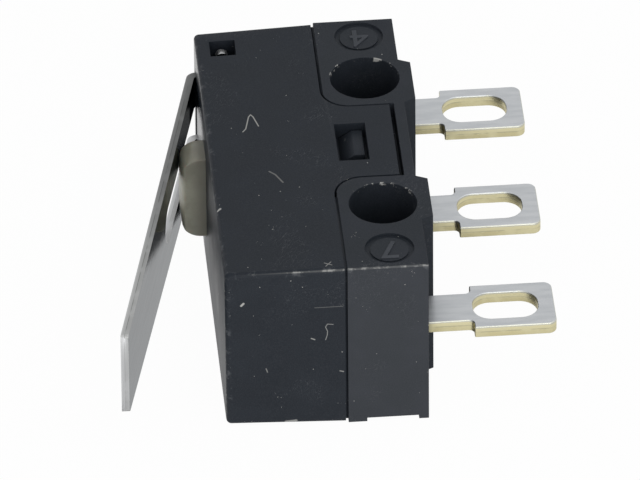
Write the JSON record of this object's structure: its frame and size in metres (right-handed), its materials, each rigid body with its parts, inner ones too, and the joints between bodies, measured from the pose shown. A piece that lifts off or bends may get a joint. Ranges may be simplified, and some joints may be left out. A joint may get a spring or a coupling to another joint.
{
  "type": "lever micro switch",
  "caption": "Ultra-subminiature snap-action switch: dark two-part housing, beige plunger under a straight steel hinge lever, slotted solder lugs.",
  "frame": {"origin": "on the lower broad face (Z = 0), midway between the axes of the two mounting holes", "axes": "+X along the housing from the lever's free end to its hinge; +Y from the solder lugs to the lever; +Z through the thickness, from the lower broad face to the upper one, along the mounting holes"},
  "size_m": [0.0136, 0.0133, 0.0058],
  "materials": {
    "housing": "matte, slightly dusty moulded thermoplastic",
    "plunger": "satin, grey-beige, slightly translucent",
    "lever": "bright rolled stainless sheet",
    "terminal": "silver-plated faces with bare brass at the cut edges",
    "blade": "bright copper alloy spring sheet",
    "contact": "bright silver alloy"
  },
  "bodies": {
    "housing": {"base": "housing", "cover": "housing", "common_terminal": "terminal", "open_terminal": "terminal", "closed_terminal": "terminal", "open_contact": "contact", "closed_contact": "contact"},
    "lever": {"lever": "lever"},
    "plunger": {"plunger": "plunger"},
    "blade": {"snap_blade": "blade", "moving_contact": "contact"}
  },
  "joints": [
    {"name": "plunger_slide", "type": "slide", "parent": "housing", "child": "plunger", "axis": [0, -1, 0], "range_m": [0, 0.00062], "stiffness_N_per_m": 0.1, "springref_m": -0.002},
    {"name": "lever_hinge", "type": "hinge", "parent": "housing", "child": "lever", "pos_m": [0.00547, 0.00424, 0.0029], "axis": [0, 0, 1], "range_deg": [0, 10.02]},
    {"name": "blade_rock", "type": "hinge", "parent": "housing", "child": "blade", "pos_m": [-0.0046, 0.00279, 0.0029], "axis": [0, 0, -1], "range_deg": [0, 5]}
  ],
  "couplings": [
    {"joint": "lever_hinge", "follows": "plunger_slide", "rad_per_m": 281.5},
    {"joint": "blade_rock", "follows": "plunger_slide", "rad_per_m": 132.31}
  ]
}
